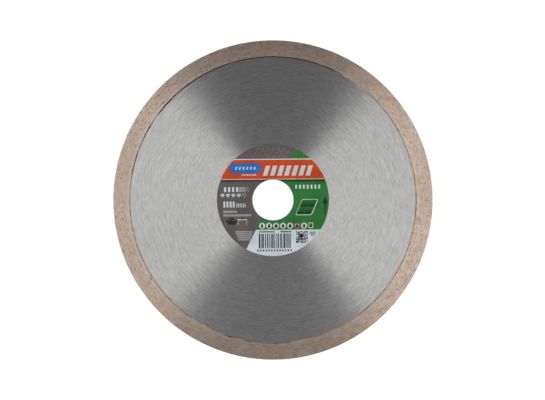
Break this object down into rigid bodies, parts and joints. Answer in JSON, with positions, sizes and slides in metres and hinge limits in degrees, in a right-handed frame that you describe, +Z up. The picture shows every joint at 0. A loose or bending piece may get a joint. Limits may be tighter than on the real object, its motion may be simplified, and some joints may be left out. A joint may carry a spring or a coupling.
{
  "type": "diamond blade",
  "caption": "Continuous-rim diamond cutting disc: flat brushed-steel core with an arbor bore, a sintered diamond rim and a round printed label.",
  "frame": {"origin": "middle of the arbor bore, on the mid-plane of the steel core", "axes": "+Y along the arbor, out of the plain back face; the labelled front looks towards -Y; +Z is up as the label reads; +X is to the right seen from the front"},
  "size_m": [0.1998, 0.0024, 0.1998],
  "materials": {
    "steel_core": "brushed in circles round the arbor, satin",
    "diamond_rim": "sintered bronze bond, dull, open pores",
    "diamond_grit": "pale yellow crystals, glassy facets",
    "braze_seam": "dark oxidised braze, rough",
    "label_adhesive": "clear pressure-sensitive adhesive, dull",
    "label_film": "white coated film, semi-gloss",
    "label_ink_grey": "printed ink, semi-gloss",
    "label_ink_green": "printed ink, semi-gloss",
    "label_ink_orange": "printed ink, semi-gloss",
    "label_ink_blue": "printed ink, semi-gloss"
  },
  "bodies": {
    "root": {"steel_core": "steel_core", "diamond_rim": "diamond_rim", "diamond_grit": "diamond_grit", "braze_seam_front": "braze_seam", "braze_seam_back": "braze_seam", "label_adhesive": "label_adhesive", "label_film": "label_film", "label_ink_grey": "label_ink_grey", "label_ink_green": "label_ink_green", "label_ink_orange": "label_ink_orange", "label_ink_blue": "label_ink_blue"}
  },
  "joints": []
}
